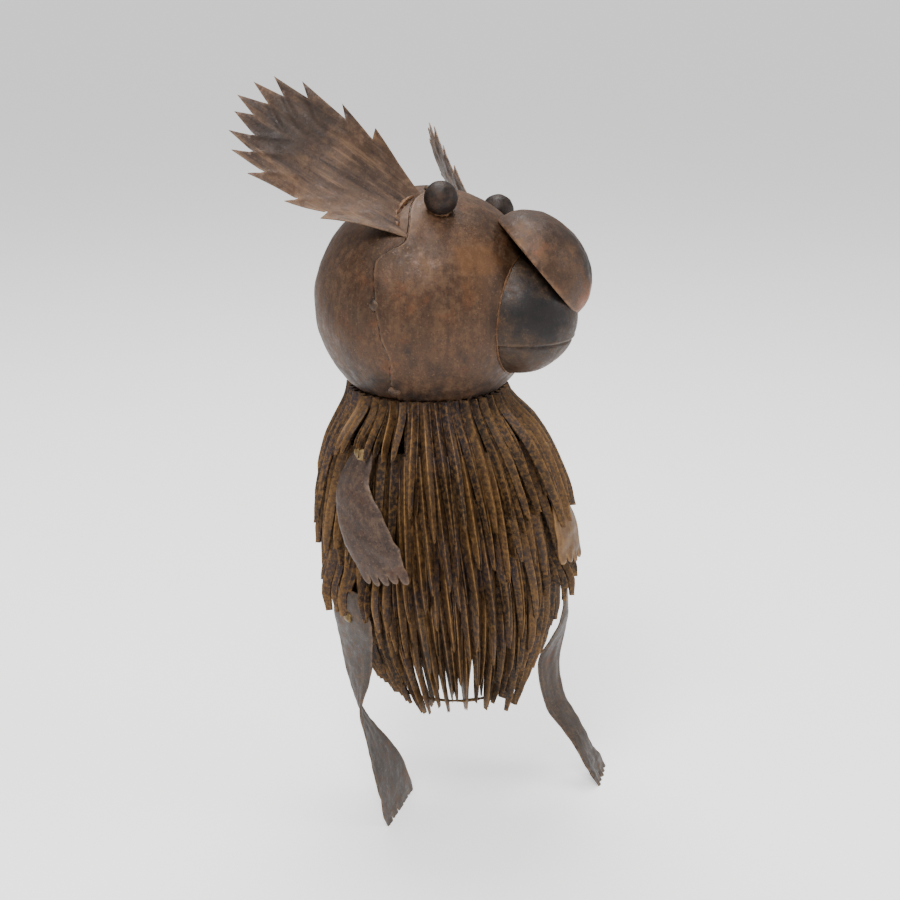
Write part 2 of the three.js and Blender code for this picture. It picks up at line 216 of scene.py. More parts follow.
def cloud(tree, vector, scale, detail=3.0, roughness=0.5):
    made = node(tree, "ShaderNodeTexNoise", {
        "Vector": vector, "Scale": scale, "Detail": detail, "Roughness": roughness})
    return made.outputs["Fac"]


def new_group(name, inputs, outputs):
    tree = bpy.data.node_groups.new(name, "ShaderNodeTree")
    for label, kind in inputs:
        tree.interface.new_socket(label, in_out="INPUT", socket_type=kind)
    for label, kind in outputs:
        tree.interface.new_socket(label, in_out="OUTPUT", socket_type=kind)
    return tree, tree.nodes.new("NodeGroupInput").outputs, tree.nodes.new("NodeGroupOutput").inputs


COLOUR, NUMBER, VECTOR = "NodeSocketColor", "NodeSocketFloat", "NodeSocketVector"

# Weathering: broad patches, mottling, streaks down the sheet, rust bloom and flecks, and rubbed edges that
# are worn and carry a painted highlight
WEATHER, ins, outs = new_group("weathered iron", [
    ("Grain", VECTOR), ("Base", COLOUR), ("Light", COLOUR), ("Dark", COLOUR), ("Rust", COLOUR),
    ("Patches", NUMBER), ("Streaks", NUMBER), ("Flecks", NUMBER), ("Bloom", NUMBER),
    ("Wear and highlight", NUMBER), ("Mottle scale", NUMBER),
], [("Colour", COLOUR), ("Roughness", NUMBER), ("Height", NUMBER)])
place = node(WEATHER, "ShaderNodeTexCoord").outputs["Object"]
broad = cloud(WEATHER, place, 22, 3, 0.55)
mottle = cloud(WEATHER, place, ins["Mottle scale"], 5, 0.62)
pits = cloud(WEATHER, place, 620, 3, 0.6)
streak = cloud(WEATHER, ins["Grain"], 0.22, 4, 0.65)
bloom = cloud(WEATHER, place, 55, 5, 0.7)
colour = mix(WEATHER, spread(WEATHER, mottle, 0.46, 0.8), ins["Base"], ins["Light"])
blotches = calc(WEATHER, "ADD", broad, calc(WEATHER, "MULTIPLY", mottle, 0.35))
dark_patch = calc(WEATHER, "MULTIPLY", spread(WEATHER, blotches, 0.64, 0.84), ins["Patches"])
colour = mix(WEATHER, dark_patch, colour, ins["Dark"])
dark_streak = calc(WEATHER, "MULTIPLY", spread(WEATHER, streak, 0.5, 0.72), ins["Streaks"])
colour = mix(WEATHER, dark_streak, colour, ins["Dark"])
light_streak = calc(WEATHER, "MULTIPLY", spread(WEATHER, streak, 0.44, 0.32), ins["Streaks"])
colour = mix(WEATHER, calc(WEATHER, "MULTIPLY", light_streak, 0.6), colour, ins["Light"])
rusty = calc(WEATHER, "MULTIPLY", spread(WEATHER, bloom, 0.56, 0.7), ins["Bloom"])
colour = mix(WEATHER, rusty, colour, ins["Rust"])
pale = calc(WEATHER, "MULTIPLY", spread(WEATHER, pits, 0.6, 0.7), ins["Flecks"])
colour = mix(WEATHER, pale, colour, ins["Light"])
deep = calc(WEATHER, "MULTIPLY", spread(WEATHER, pits, 0.4, 0.31), ins["Flecks"])
colour = mix(WEATHER, deep, colour, ins["Dark"])
# rubbed edges turn towards the light colour: wear, and a painted highlight on edges and ridges
rubbed_and_lit = calc(WEATHER, "MULTIPLY", ins["Wear and highlight"], spread(WEATHER, mottle, 0.36, 0.6))
colour = mix(WEATHER, rubbed_and_lit, colour, ins["Light"])
WEATHER.links.new(colour, outs["Colour"])
rough = spread(WEATHER, mottle, 0.3, 0.7, 0.42, 0.7)
rough = calc(WEATHER, "ADD", rough, calc(WEATHER, "MULTIPLY", rusty, 0.2))
rough = calc(WEATHER, "SUBTRACT", rough, calc(WEATHER, "MULTIPLY", rubbed_and_lit, 0.12))
WEATHER.links.new(rough, outs["Roughness"])
relief = calc(WEATHER, "MULTIPLY", mottle, 0.7)
relief = calc(WEATHER, "ADD", relief, calc(WEATHER, "MULTIPLY", pits, 0.3))
relief = calc(WEATHER, "ADD", relief, calc(WEATHER, "MULTIPLY", streak, 0.4))
WEATHER.links.new(relief, outs["Height"])

# A soft, ragged patch of another colour about one place
PATCH, ins, outs = new_group("ragged patch", [
    ("Under", COLOUR), ("Over", COLOUR), ("Place", VECTOR), ("Radius", NUMBER), ("Strength", NUMBER),
], [("Colour", COLOUR)])
place = node(PATCH, "ShaderNodeTexCoord").outputs["Object"]
away = node(
    PATCH, "ShaderNodeVectorMath", {0: place, 1: ins["Place"]}, operation="DISTANCE",
).outputs["Value"]
ragged = calc(PATCH, "MULTIPLY", calc(PATCH, "SUBTRACT", cloud(PATCH, place, 48, 6, 0.7), 0.5), 3.2)
share = calc(PATCH, "ADD", calc(PATCH, "DIVIDE", away, ins["Radius"]), ragged)
patch_mask = calc(PATCH, "MULTIPLY", spread(PATCH, share, 1.25, 0.45), ins["Strength"])
PATCH.links.new(mix(PATCH, patch_mask, ins["Under"], ins["Over"]), outs["Colour"])

BLACK_IRON = srgb(30, 25, 23)
RUST = srgb(150, 92, 48)


def iron(name, base, light, dark, patches=0.6, streaks=0.5, flecks=0.5, bloom=0.35,
         rust=RUST, metallic=0.5, bump=0.35, mottle=150, spots=()):
    """Weathered iron; each spot is (place in mm, radius in mm, colour, strength)."""
    material = bpy.data.materials.new(name)
    material.use_nodes = True
    tree = material.node_tree
    shader = tree.nodes["Principled BSDF"]
    grain = node(tree, "ShaderNodeAttribute", attribute_name="grain").outputs["Vector"]
    wear_and_highlight = node(tree, "ShaderNodeAttribute", attribute_name="wear_and_highlight").outputs["Fac"]
    skin = node(tree, "ShaderNodeGroup", {
        "Grain": grain, "Base": base, "Light": light, "Dark": dark, "Rust": rust,
        "Patches": patches, "Streaks": streaks, "Flecks": flecks, "Bloom": bloom,
        "Wear and highlight": wear_and_highlight, "Mottle scale": mottle,
    }, node_tree=WEATHER)
    colour = skin.outputs["Colour"]
    for spot_place, radius, spot_colour, strength in spots:
        spot = node(tree, "ShaderNodeGroup", {
            "Under": colour, "Over": spot_colour, "Place": spot_place * MM,
            "Radius": radius * MM, "Strength": strength,
        }, node_tree=PATCH)
        colour = spot.outputs["Colour"]
    tree.links.new(colour, shader.inputs["Base Color"])
    tree.links.new(skin.outputs["Roughness"], shader.inputs["Roughness"])
    bumped = node(tree, "ShaderNodeBump", {
        "Strength": bump, "Distance": 0.0012, "Height": skin.outputs["Height"]})
    tree.links.new(bumped.outputs["Normal"], shader.inputs["Normal"])
    shader.inputs["Metallic"].default_value = metallic
    return material


HEAD_BASE = srgb(92, 64, 43)
HEAD_LIGHT = srgb(132, 102, 74)
HEAD_DARK = srgb(44, 32, 26)
head_material = iron(
    "head iron", HEAD_BASE, HEAD_LIGHT, HEAD_DARK, patches=0.5, streaks=0.5, flecks=0.75,
    bloom=0.25, mottle=190,
    spots=[
        # painted shade: a near-black patch under the chin, where the head's underside is in shadow
        (HEAD_PLACE + Vector((0, 0, -96)), 78, BLACK_IRON, 0.9),
        (from_head(62, 50, 25), 20, srgb(150, 104, 60), 0.35),
    ],
)

HEAD_RINGS = 72
HEAD_SIDES = 200
HEAD_LIP = 1.1  # the face half stands this much proud at the seam
HEAD_TUCK = 0.5  # and the back half is hammered this far in
SEAM_NEAR, SEAM_FAR = 0.03, 0.16  # both happen between these angles from the seam
SEAM_GAP = 0.7
SEAM_ROUND = 1.6  # the edge starts to turn in this many gaps before the seam
SEAM_SINKS = (0.5, 5.0)  # depths of the turned-in edge
# Degrees round the seam and radius of each blob of weld on it
SEAM_BLOBS = [(-14, 4.2), (-63, 5.0), (64, 3.6), (118, 4.4), (190, 4.0), (236, 4.6)]


def seam_angle(around):
    degrees = (math.degrees(around) + 180) % 360 - 180
    return math.radians(90 - along_table(SEAM_SHIFT, degrees))


def head_direction(angle, around):
    across = HEAD_RIGHT * math.cos(around) + HEAD_UP * math.sin(around)
    return HEAD_FRONT * math.cos(angle) + across * math.sin(angle)


def head_shell(name, is_face):
    pole = 0 if is_face else math.pi
    edge_gap = SEAM_GAP / HEAD_RADIUS * (1 if is_face else -1)
    points = []

    def surface(angle, around, sink=0.0):
        direction = head_direction(angle, around)
        near_seam = smooth(abs(angle - seam_angle(around)), SEAM_FAR, SEAM_NEAR)
        lift = near_seam * (HEAD_LIP if is_face else -HEAD_TUCK)
        raw = direction * HEAD_RADIUS
        lift += dents(raw, 27, 0.9) + dents(raw + Vector((200, 0, 0)), 10, 0.35)
        return HEAD_PLACE + direction * (HEAD_RADIUS + lift - sink)

    rings = [add_ring(points, [surface(pole, 0)])]
    turns = [math.tau * j / HEAD_SIDES for j in range(HEAD_SIDES)]
    for i in range(1, HEAD_RINGS + 1):
        share = i / HEAD_RINGS
        rings.append(add_ring(points, [
            surface(pole + (seam_angle(turn) - edge_gap * SEAM_ROUND - pole) * share, turn)
            for turn in turns]))
    # the face half's edge at the seam is lightened: wear, and a painted highlight where it catches the
    # light
    wear_and_highlight = [0.0] * (len(points) - HEAD_SIDES) + [0.8 if is_face else 0.0] * HEAD_SIDES
    for sink in SEAM_SINKS:
        rings.append(add_ring(points, [
            surface(seam_angle(turn) - edge_gap, turn, sink) for turn in turns]))
    rings.append(add_ring(points, [HEAD_PLACE + HEAD_FRONT * (1 if is_face else -1)]))
    wear_and_highlight += [0.0] * (len(points) - len(wear_and_highlight))
    return make_mesh(name, points, join_rings(rings), wear_and_highlight=wear_and_highlight)


finish_piece(head_shell("head_back", False), head_material, "head_iron", "head_back_shell")
finish_piece(head_shell("head_face", True), head_material, "head_iron", "head_face_shell")


def bead(points, faces, wear_and_highlight, path, radius, seed, closed=True, ripple=0.22):
    """A bead of weld laid along a path: a tube with an uneven, rippled surface."""
    sides = 8
    count = len(path)
    rings = []
    for i, here in enumerate(path):
        ahead = path[(i + 1) % count] if closed else path[min(i + 1, count - 1)]
        behind = path[i - 1] if closed or i else path[0]
        tangent = (ahead - behind).normalized()
        side = tangent.cross(Vector((0.31, 0.17, 0.93))).normalized()
        other = tangent.cross(side)
        ring = []
        for k in range(sides):
            turn = math.tau * k / sides
            out = side * math.cos(turn) + other * math.sin(turn)
            wave = 1 + ripple * math.sin(i * 1.7 + seed) + 0.5 * noise.noise(here / 6 + out * 0.3)
            taper = 1 if closed else math.sqrt(max(1 - (2 * i / (count - 1) - 1) ** 4, 0.04))
            ring.append(here + out * radius * wave * taper)
        rings.append(add_ring(points, ring))
    if closed:
        rings.append(rings[0])
    else:
        rings.insert(0, add_ring(points, [path[0]]))
        rings.append(add_ring(points, [path[-1]]))
    faces += join_rings(rings)
    wear_and_highlight += [0.25] * (len(points) - len(wear_and_highlight))


def blob(points, faces, wear_and_highlight, centre, normal, size, height, seed):
    """A blob of weld on a surface: a flattened, lumpy ball."""
    side = normal.cross(Vector((0.2, 0.1, 0.97))).normalized()
    other = normal.cross(side)
    steps, sides = 9, 18
    rings = [add_ring(points, [centre + normal * height])]
    for i in range(1, steps):
        lean = math.pi * i / steps
        ring = []
        for k in range(sides):
            turn = math.tau * k / sides
            out = (side * math.cos(turn) + other * math.sin(turn)) * math.sin(lean) * size
            point = centre + out + normal * math.cos(lean) * height
            lump = 0.35 * noise.noise((point + Vector((seed * 13.0, 0, 0))) / (size * 0.8))
            ring.append(point + (point - centre) * lump)
        rings.append(add_ring(points, ring))
    rings.append(add_ring(points, [centre - normal * height]))
    faces += join_rings(rings)
    wear_and_highlight += [0.4] * (len(points) - len(wear_and_highlight))


weld_material = iron(
    "weld", srgb(60, 46, 38), srgb(132, 100, 70), BLACK_IRON, patches=0.5, streaks=0.0, flecks=0.7,
    bloom=0.5, metallic=0.45)

points, faces, wear_and_highlight = [], [], []
seam_path = [
    HEAD_PLACE + head_direction(seam_angle(turn), turn) * (HEAD_RADIUS - 1.6)
    for turn in (math.tau * j / 300 for j in range(300))]
bead(points, faces, wear_and_highlight, seam_path, 1.3, 1)
for around, size in SEAM_BLOBS:
    turn = math.radians(around)
    normal = head_direction(seam_angle(turn), turn)
    blob(points, faces, wear_and_highlight, HEAD_PLACE + normal * HEAD_RADIUS, normal, size, 2.2, around)
finish_piece(make_mesh("head_seam_weld", points, faces, wear_and_highlight=wear_and_highlight), weld_material, "head_iron")

# Muzzle: a smaller raised ball seated on the face and welded all round, charcoal
# above and browner below a cut line that makes the smile.
MUZZLE_RADIUS = 45.5
MUZZLE_PLACE = from_head(74.5, -9.5, -1)
MUZZLE_AXIS = (MUZZLE_PLACE - HEAD_PLACE).normalized()
MUZZLE_SIDE = MUZZLE_AXIS.cross(Vector((0, 0, 1))).normalized()
MUZZLE_UP = MUZZLE_SIDE.cross(MUZZLE_AXIS)
MUZZLE_EDGE = math.radians(95)
SMILE_DROP = 17.5
SMILE_WIDTH = 1.1
SMILE_DEPTH = 1.1
LIP_RISE = 0.5
muzzle_material = iron(
    "muzzle iron", srgb(74, 58, 46), srgb(122, 96, 72), srgb(34, 29, 27), patches=0.4, streaks=0.35,
    flecks=0.8, bloom=0.2, metallic=0.5, mottle=220,
    spots=[
        (MUZZLE_PLACE + Vector((0, 0, -50)), 40, srgb(92, 66, 46), 0.8),
        (MUZZLE_PLACE + Vector((2, -42, 6)), 30, srgb(36, 32, 34), 0.9),
    ],
)


def muzzle_direction(lean, turn):
    out = MUZZLE_SIDE * math.cos(turn) + MUZZLE_UP * math.sin(turn)
    return MUZZLE_AXIS * math.cos(lean) + out * math.sin(lean)


def muzzle():
    rings_count, sides = 90, 200
    points, wear_and_highlight = [], []
    turns = [math.tau * j / sides for j in range(sides)]
    rings = []
    for i in range(rings_count + 1):
        lean = MUZZLE_EDGE * i / rings_count
        ring = []
        for turn in turns[:1] if i == 0 else turns:
            direction = muzzle_direction(lean, turn)
            raw = direction * MUZZLE_RADIUS
            drop = (raw.z + SMILE_DROP) / SMILE_WIDTH
            groove = math.exp(-drop * drop)
            bulge = dents(raw + Vector((50, 0, 0)), 14, 0.5) - SMILE_DEPTH * groove
            bulge += LIP_RISE * math.exp(-(drop - 2.1) ** 2)
            ring.append(MUZZLE_PLACE + direction * (MUZZLE_RADIUS + bulge))
            # the lip above the smile is lightened: wear, and a painted highlight along it
            wear_and_highlight.append(min(0.95 * math.exp(-(drop - 2.0) ** 2 / 1.4), 1))
        rings.append(add_ring(points, ring))
    middle = MUZZLE_PLACE + MUZZLE_AXIS * MUZZLE_RADIUS * math.cos(MUZZLE_EDGE)
    rings.append(add_ring(points, [middle]))
    wear_and_highlight.append(0)
    return make_mesh("muzzle_ball", points, join_rings(rings), wear_and_highlight=wear_and_highlight)


finish_piece(muzzle(), muzzle_material, "muzzle_iron", "muzzle")

rim_material = iron(
    "orange weld", srgb(98, 66, 40), srgb(150, 108, 66), srgb(60, 42, 30), patches=0.3, streaks=0.0,
    flecks=0.6, bloom=0.7, metallic=0.35)
points, faces, wear_and_highlight = [], [], []
muzzle_reach = (MUZZLE_PLACE - HEAD_PLACE).length
rim_lean = math.acos(
    (HEAD_RADIUS ** 2 - muzzle_reach ** 2 - MUZZLE_RADIUS ** 2) / (2 * muzzle_reach * MUZZLE_RADIUS))
rim_path = [
    MUZZLE_PLACE + muzzle_direction(rim_lean, math.tau * j / 180) * (MUZZLE_RADIUS + 0.2)
    for j in range(180)]
bead(points, faces, wear_and_highlight, rim_path, 0.8, 4)
finish_piece(make_mesh("muzzle_weld", points, faces, wear_and_highlight=wear_and_highlight), rim_material, "muzzle_iron")

# Nose: an open cup hammered from thin sheet, set rim down over the muzzle so that a
# dark slit shows under its upper rim. A black burnt patch marks its far side.
NOSE_RADIUS = 47
NOSE_DEPTH = 37
NOSE_SHEET = 2.2
NOSE_TURN = on_head(0.633, -0.16, 0.757).normalized()
NOSE_PLACE = from_head(83.5, -9, 36)
NOSE_SIDE = NOSE_TURN.cross(HEAD_FRONT).normalized()
NOSE_OTHER = NOSE_TURN.cross(NOSE_SIDE)


def nose():
    steps, sides = 54, 200
    points, wear_and_highlight, rings = [], [], []

    def ring_at(angle, inset, worn_and_lit):
        ring = []
        for j in range(1 if angle >= math.pi / 2 else sides):
            turn = math.tau * j / sides
            out = NOSE_SIDE * math.cos(turn) + NOSE_OTHER * math.sin(turn)
            raw = out * math.cos(angle) * NOSE_RADIUS + NOSE_TURN * math.sin(angle) * NOSE_DEPTH
            dent = dents(raw + Vector((0, 90, 0)), 13, 0.9) + dents(raw, 6, 0.25)
            direction = raw.normalized()
            ring.append(NOSE_PLACE + raw + direction * (dent - inset))
            wear_and_highlight.append(worn_and_lit)
        rings.append(add_ring(points, ring))

    # the rim is lightened: wear, and a painted highlight along it
    for i in range(steps + 1):
        share = i / steps
        ring_at(math.pi / 2 * (1 - share), 0, 0.9 * smooth(share, 0.95, 1.0))
    rim = [(-0.02, 0.25), (-0.028, NOSE_SHEET * 0.5), (-0.02, NOSE_SHEET - 0.25)]
    for angle, inset in rim:
        ring_at(angle, inset, 1.0)
    for i in range(steps // 2 + 1):
        share = i / (steps // 2)
        ring_at(math.pi / 2 * share, NOSE_SHEET, 0.0)
    return make_mesh("nose_dome", points, join_rings(rings), wear_and_highlight=wear_and_highlight)


nose_material = iron(
    "nose iron", srgb(88, 64, 47), srgb(132, 100, 72), srgb(46, 38, 36), patches=0.6, streaks=0.2,
    flecks=0.6, bloom=0.35, metallic=0.5,
    spots=[
        (NOSE_PLACE + NOSE_TURN * 16 + Vector((30, -22, 0)), 24, srgb(28, 26, 27), 0.9),
        (NOSE_PLACE + Vector((30, -30, -26)), 17, srgb(150, 90, 44), 0.7),
    ],
)
finish_piece(nose(), nose_material, "nose_iron", "nose")

# Eyes: two dark iron balls, hammered a little. Each is sunk a little way into the face
# half of the head and held by a rusty collar of weld run round its foot.
EYE_RADIUS = 12.6
EYE_SEAT = 0.76  # share of its radius that each ball's centre stands off the head
EYE_REACH = HEAD_RADIUS + EYE_RADIUS * EYE_SEAT
EYES = {"eye_right": (0.32, 0.66, 0.68), "eye_left": (0.245, -0.435, 0.866)}
eye_material = iron(
    "eye iron", srgb(50, 40, 36), srgb(92, 74, 60), srgb(22, 20, 20), patches=0.3, streaks=0.0,
    flecks=0.6, bloom=0.12, metallic=0.6)
collar_points, collar_faces, collar_wear_and_highlight = [], [], []
for eye_number, (eye_name, eye_way) in enumerate(EYES.items()):
    way = on_head(*eye_way).normalized()
    centre = HEAD_PLACE + way * EYE_REACH
    side = way.cross(Vector((0, 0, 1))).normalized()
    other = way.cross(side)
    points, rings = [], []
    steps, sides = 40, 64
    for i in range(steps + 1):
        lean = math.pi * i / steps
        ring = []
        for j in range(1 if i in (0, steps) else sides):
            turn = math.tau * j / sides
            out = side * math.cos(turn) + other * math.sin(turn)
            direction = way * math.cos(lean) + out * math.sin(lean)
            bump = dents(direction * EYE_RADIUS + centre, 5, 0.35)
            ring.append(centre + direction * (EYE_RADIUS + bump))
        rings.append(add_ring(points, ring))
    finish_piece(
        make_mesh(eye_name + "_ball", points, join_rings(rings)), eye_material, "eye_iron", eye_name)
    ring_radius = math.sqrt(EYE_RADIUS ** 2 - (EYE_REACH - HEAD_RADIUS) ** 2) + 0.6
    path = []
    for j in range(48):
        turn = math.tau * j / 48
        out = centre + (side * math.cos(turn) + other * math.sin(turn)) * ring_radius - HEAD_PLACE
        path.append(HEAD_PLACE + out.normalized() * (HEAD_RADIUS + 0.5))
    bead(collar_points, collar_faces, collar_wear_and_highlight, path, 1.7, eye_number)
finish_piece(
    make_mesh("eye_collars", collar_points, collar_faces, wear_and_highlight=collar_wear_and_highlight), rim_material, "eye_iron")

# Ears: a leaf snipped from thin sheet with saw teeth down both edges, creased in from
# the notches, brushed lengthways and welded by its narrow root to the side of the head.
SHEET = 1.8
EAR_LENGTH = 156
EAR_HALF_WIDTH = 43
EAR_ROOT_HALF = 21
EAR_CUP = 7
EAR_ROOT = -0.08
EAR_SLIP = -0.035
# Tip of each tooth and the notch beyond it, as shares of length and half width
EAR_TEETH = [
    (0.36, 0.98, 0.345, 0.8), (0.55, 1.0, 0.5, 0.82), (0.765, 0.94, 0.7, 0.76),
    (0.89, 0.75, 0.8, 0.56), (0.955, 0.48, 0.84, 0.3), (0.985, 0.14, 0.87, 0.0),
]
TRIANGLE_HEIGHT = 0.866  # of a triangle with sides of one


def snip(outline, spacing):
    """Fills a flat outline with triangles about as long as the spacing."""
    edge = []
    for here, ahead in zip(outline, outline[1:] + outline[:1]):
        run = Vector(ahead) - Vector(here)
        steps = max(1, round(run.length / spacing))
        edge += [Vector(here) + run * (i / steps) for i in range(steps)]
    rim = np.array([tuple(p) for p in edge])
    low, high = rim.min(axis=0), rim.max(axis=0)
    inner = []
    following = np.roll(rim, -1, axis=0)
    rows_count = int((high[1] - low[1]) / (spacing * TRIANGLE_HEIGHT)) + 1
    for row in range(rows_count):
        y = low[1] + row * spacing * TRIANGLE_HEIGHT
        crosses = (rim[:, 1] > y) != (following[:, 1] > y)
        for column in range(int((high[0] - low[0]) / spacing) + 1):
            x = low[0] + (column + 0.5 * (row % 2)) * spacing
            at = rim[crosses, 0] + (y - rim[crosses, 1]) / (
                following[crosses, 1] - rim[crosses, 1]) * (following[crosses, 0] - rim[crosses, 0])
            inside = np.count_nonzero(at > x) % 2
            if inside and np.min(np.hypot(rim[:, 0] - x, rim[:, 1] - y)) > spacing * 0.55:
                inner.append(Vector((x, y)))
    flat = edge + inner
    result = delaunay_2d_cdt(flat, [], [list(range(len(edge)))], 1, 1e-6)
    vertices, triangles = result[0], result[2]
    return [tuple(v) for v in vertices], [tuple(t) for t in triangles], rim


def sheet_mesh(name, outline, spacing, place, relief, wear_and_highlight_width, wear_and_highlight_most, ground=False):
    """A piece of cut sheet: flat outline laid on place(a, b), with relief and cut edges."""
    flat, triangles, rim = snip(outline, spacing)
    fronts, backs, grain, wear_and_highlight = [], [], [], []
    for a, b in flat:
        here = place(a, b)
        step = 0.05
        normal = (place(a + step, b) - here).cross(place(a, b + step) - here).normalized()
        away = float(np.min(np.hypot(rim[:, 0] - a, rim[:, 1] - b)))
        half = SHEET / 2 * (0.5 + 0.5 * min(away, 1))
        raised = relief(a, b, away)
        fronts.append(here + normal * (raised + half))
        backs.append(here + normal * (raised - half))
        # cut edges are lightened: wear, and a painted highlight along them
        wear_and_highlight.append(wear_and_highlight_most * smooth(away, wear_and_highlight_width, 0.0))
        grain.append((b, a * 0.1, 3.0))
    count = len(flat)
    faces = triangles + [tuple(i + count for i in reversed(t)) for t in triangles]
    open_edges = {}
    for triangle in triangles:
        for i in range(3):
            one, two = triangle[i], triangle[(i + 1) % 3]
            if (two, one) in open_edges:
                del open_edges[(two, one)]
            else:
                open_edges[(one, two)] = True
    faces += [(two, one, one + count, two + count) for one, two in open_edges]
    piece = make_mesh(name, fronts + backs, faces, grain=grain * 2, wear_and_highlight=wear_and_highlight * 2, sharp=50)
    if ground:
        cutter = bmesh.new()
        cutter.from_mesh(piece.data)
        everything = cutter.verts[:] + cutter.edges[:] + cutter.faces[:]
        cut = bmesh.ops.bisect_plane(
            cutter, geom=everything, plane_co=(0, 0, 0), plane_no=(0, 0, -1), clear_outer=True)
        rim_edges = [item for item in cut["geom_cut"] if isinstance(item, bmesh.types.BMEdge)]
        bmesh.ops.triangle_fill(cutter, use_beauty=True, edges=rim_edges)
        cutter.to_mesh(piece.data)
        cutter.free()
    return piece


def ear_outline():
    sides = []
    for sign in (1, -1):
        slip = EAR_SLIP if sign < 0 else 0
        side = [(EAR_ROOT * EAR_LENGTH, sign * EAR_ROOT_HALF)]
        for number, (tip_u, tip_v, notch_u, notch_v) in enumerate(EAR_TEETH):
            side.append(((tip_u + slip) * EAR_LENGTH, sign * tip_v * EAR_HALF_WIDTH))
            if number < len(EAR_TEETH) - 1:
                side.append(((notch_u + slip) * EAR_LENGTH, sign * notch_v * EAR_HALF_WIDTH))
        sides.append(side)
    last = (EAR_TEETH[-1][2] * EAR_LENGTH, 0.0)
    return sides[1] + [last] + sides[0][::-1]


def ear_relief(seed):
    def relief(u, v, away):
        sign = 1 if v >= 0 else -1
        slip = EAR_SLIP if v < 0 else 0
        depth = 0.0
        for _, _, notch_u, notch_v in EAR_TEETH[:-1]:
            start = Vector(((notch_u + slip) * EAR_LENGTH, sign * notch_v * EAR_HALF_WIDTH))
            line = Vector((-0.86, -sign * 0.5))
            offset = Vector((u, v)) - start
            run = offset.dot(line)
            across = abs(offset.x * line.y - offset.y * line.x)
            if run > -3:
                depth += 1.3 * math.exp(-(across / 2.0) ** 2) * smooth(run, 42, 2)
        waves = noise.noise(Vector((u / 45, v / 6 + seed, seed))) * 0.8
        fine = noise.noise(Vector((u / 14, v / 2.2, seed + 5.0))) * 0.22
        dish = noise.noise(Vector((u / 30, v / 30, seed + 9.0))) * 1.3
        return waves + fine + dish - depth
    return relief


def ear(name, node_name, root_place, along, root_across, tip_across, cup_sign, seed):
    turn_length = EAR_LENGTH * 0.5

    def place(u, v):
        across = root_across.lerp(tip_across, smooth(u, 0, turn_length))
        across = (across - along * across.dot(along)).normalized()
        out = along.cross(across)
        cup = cup_sign * EAR_CUP * ((v / EAR_HALF_WIDTH) ** 2 + (u / EAR_LENGTH) ** 2)
        return root_place + along * u + across * v + out * cup

    piece = sheet_mesh(name, ear_outline(), 1.7, place, ear_relief(seed), wear_and_highlight_width=1.3, wear_and_highlight_most=0.55)
    finish_piece(piece, ear_material, "ear_iron", node_name)
    points, faces, wear_and_highlight = [], [], []
    path = []
    for i in range(26):
        v = EAR_ROOT_HALF * (2 * i / 25 - 1) * 0.98
        u = EAR_ROOT * EAR_LENGTH
        while (place(u, v) - HEAD_PLACE).length < HEAD_RADIUS + 0.6 and u < 20:
            u += 0.25
        path.append(place(u, v))
    bead(points, faces, wear_and_highlight, path, 1.9, seed, closed=False)
    finish_piece(make_mesh(name + "_weld", points, faces, wear_and_highlight=wear_and_highlight), rim_material, "ear_iron")


EAR_RIGHT_ROOT = from_head(8.1, 67, 49.9)
EAR_RIGHT_ALONG = on_head(-0.813, 0.444, 0.378).normalized()
ear_material = iron(
    "ear iron", srgb(96, 72, 55), srgb(146, 116, 90), srgb(48, 36, 32), patches=0.55, streaks=0.95,
    flecks=0.35, bloom=0.18, metallic=0.5, bump=0.45,
    spots=[(EAR_RIGHT_ROOT + EAR_RIGHT_ALONG * 95 + Vector((0, 0, 16)), 34, srgb(50, 40, 36), 0.7)],
)
ear("ear_right_leaf", "ear_right", EAR_RIGHT_ROOT, EAR_RIGHT_ALONG,
    on_head(-0.028, -0.677, 0.736).normalized(), on_head(0.267, -0.292, 0.919).normalized(), -1, 2)
ear("ear_left_leaf", "ear_left", from_head(2.4, -64.8, 59.2), on_head(-0.685, -0.393, 0.613).normalized(),
    on_head(0.087, 0.791, 0.605).normalized(), on_head(0.0, 0.83, 0.55).normalized(), 1, 7)

# Body: six skirts of long strips folded to a V down their middle and cut to blunt
# points, hung like shingles from a band. Each strip took its own colour in the fire.
BODY_PROFILE = [
    (36, 90), (58, 130), (78, 170), (90, 215), (92, 250), (90, 288), (82, 326), (67.5, 358), (65, 372),
]
# Top edge and mean tip of each row, and the shares of its length where its strips
# lift over the top of a limb
SPIKE_ROWS = [
    (369, 276, (0.02, 0.34)), (331, 242, None), (298, 205, (0.62, 0.95)),
    (262, 169, None), (227, 138, None), (195, 112, None),
]
ROW_START = -5.5
ROW_RAMP = 10.5
BAND_HEIGHT = 9
BAND_RISE = 1.4
TUCK_LIFT = 8
SHOULDERS = (-60, 59)
HIPS = (-74, 66)
STRIPS = 46
STRIP_SHEET = 1.3
STRIP_RIDGE = 5.2  # height of the fold over the strip's edges
STRIP_CURL = 2.6  # how far a tip stands off
TIP_SPREAD = 0.14  # how much the lengths vary, as a share
LAYER_SINK = -4.4  # the second layer lies this far in, and is painted darker as shade
COLLAR_SHORT = 0.55  # share of its length that the top row loses over an arm


